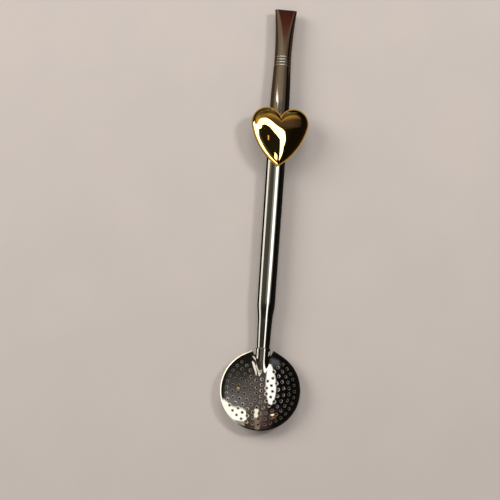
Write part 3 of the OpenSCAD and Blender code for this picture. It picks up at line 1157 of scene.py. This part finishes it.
glow(
    "gold wall over the heart",
    xs=(-900, -450),
    rows=((210, (0.6, 0.48, 0.13)), (500, (0.28, 0.2, 0.07))),
    seen_by=HEART,
    fade_x=(60, 300),
    fade_y=(40, 300),
)
glow(
    "brown wall over the heart",
    xs=(-60, 90),
    rows=((210, (0.06, 0.045, 0.055)), (300, (0.08, 0.05, 0.055)), (500, (0.42, 0.3, 0.09))),
    seen_by=HEART,
    fade_x=(220, 430),
    fade_y=(40, 300),
)
glow(
    "far ceiling",
    xs=(-900, 500),
    rows=((560, NEUTRAL), (1300, NEUTRAL)),
    seen_by=STEM,
    fade_x=(200, 200),
    fade_y=(100, 200),
)
glow(
    "near ceiling",
    xs=(-250, 120),
    rows=((-1000, NEUTRAL), (-230, NEUTRAL)),
    seen_by=STEM,
    fade_x=(350, 350),
    fade_y=(200, 90),
)
glow(
    "ceiling over the plate",
    xs=(-40, 120),
    rows=((90, PLATE_GOLD), (240, PLATE_GOLD)),
    seen_by=PLATE,
    fade_x=(1, 1),
    fade_y=(1, 1),
)

# Sheen of the table, seen only in the metal: pale on the left, and dark on the right and beside the object

# Cards that overlap lie at different small heights, and the object's own shadow lies between these two lines
OLIVE = (0.07, 0.045, 0.02)
SHADOW = (0.012, 0.01, 0.009)
SHADOW_LEFT = -16
SHADOW_RIGHT = 1
panel(
    "pale side of the table",
    corners=level(0.4, (SHADOW_LEFT, -300), (SHADOW_LEFT, 113), (-700, 222), (-700, -300)),
    tone=(0.66, 0.72, 0.54),
    seen_by=STEM + SHELL + RIM,
)
panel(
    "dark upper side of the table",
    corners=level(0.6, (SHADOW_LEFT, 113), (SHADOW_LEFT, 600), (-900, 900), (-900, 254)),
    tone=OLIVE,
    seen_by=STEM,
    solid=True,
)
panel(
    "pale side under the heart",
    corners=level(0.5, (-13, -300), (-13, 190), (-700, 190), (-700, -300)),
    tone=(4.0, 3.9, 3.3),
    seen_by=HEART,
)
panel(
    "dark side of the table",
    corners=level(0.6, (SHADOW_RIGHT, -1400), (1500, -1400), (1500, 1400), (SHADOW_RIGHT, 1400)),
    tone=SHADOW,
    seen_by=None,
    solid=True,
)
card(
    "shadow beside the stem",
    verts=[(x, y, 0.7) for y in (17, 113, 125, 240) for x in (SHADOW_LEFT, SHADOW_RIGHT)],
    faces=row_faces(4, 2),
    tones=[SHADOW] * 4 + [OLIVE] * 4,
    seen_by=None,
    solid=True,
)
panel(
    "brown side of the table",
    corners=level(0.8, (SHADOW_RIGHT, 138), (SHADOW_RIGHT, 600), (900, 900), (900, 330)),
    tone=(0.075, 0.036, 0.015),
    seen_by=STEM,
    solid=True,
)

# Room: even light for the table, and dim walls for the reflections
LOW_WALL = (0.12, 0.11, 0.095)
HIGH_WALL = (0.014, 0.012, 0.01)
EAST_WALL = (0.006, 0.005, 0.004)
world = bpy.data.worlds.new("room")
bpy.context.scene.world = world
world.use_nodes = True
tree = world.node_tree
even = tree.nodes["Background"]
even.inputs["Color"].default_value = (*LAMP_WHITE, 1)
even.inputs["Strength"].default_value = 0.31
coord = tree.nodes.new("ShaderNodeTexCoord")
part = tree.nodes.new("ShaderNodeSeparateXYZ")
tree.links.new(coord.outputs["Generated"], part.inputs[0])
up = ramp(tree, part.outputs["Z"], lo=0.15, hi=0.5, out_lo=0, out_hi=1)
east = ramp(tree, part.outputs["X"], lo=0.2, hi=0.5, out_lo=0, out_hi=1)
walls = blend(tree, blend(tree, LOW_WALL, HIGH_WALL, up), EAST_WALL, east)
seen = tree.nodes.new("ShaderNodeBackground")
tree.links.new(walls, seen.inputs["Color"])
path = tree.nodes.new("ShaderNodeLightPath")
both = tree.nodes.new("ShaderNodeMixShader")
tree.links.new(path.outputs["Is Glossy Ray"], both.inputs["Fac"])
tree.links.new(even.outputs[0], both.inputs[1])
tree.links.new(seen.outputs[0], both.inputs[2])
tree.links.new(both.outputs[0], tree.nodes["World Output"].inputs["Surface"])

# Camera high above the table, leaning a little, as the photograph was taken
cam = bpy.data.cameras.new("camera")
cam.sensor_width = 36
cam.lens = 102.91
cam.clip_start = 0.01
eye = bpy.data.objects.new("camera", cam)
eye.location = (-0.066, 0.0165, 0.617)
eye.rotation_euler = tuple(math.radians(a) for a in (3.653, -5.619, 3.976))
bpy.context.scene.collection.objects.link(eye)
bpy.context.scene.camera = eye
bpy.context.scene.view_settings.view_transform = "Standard"
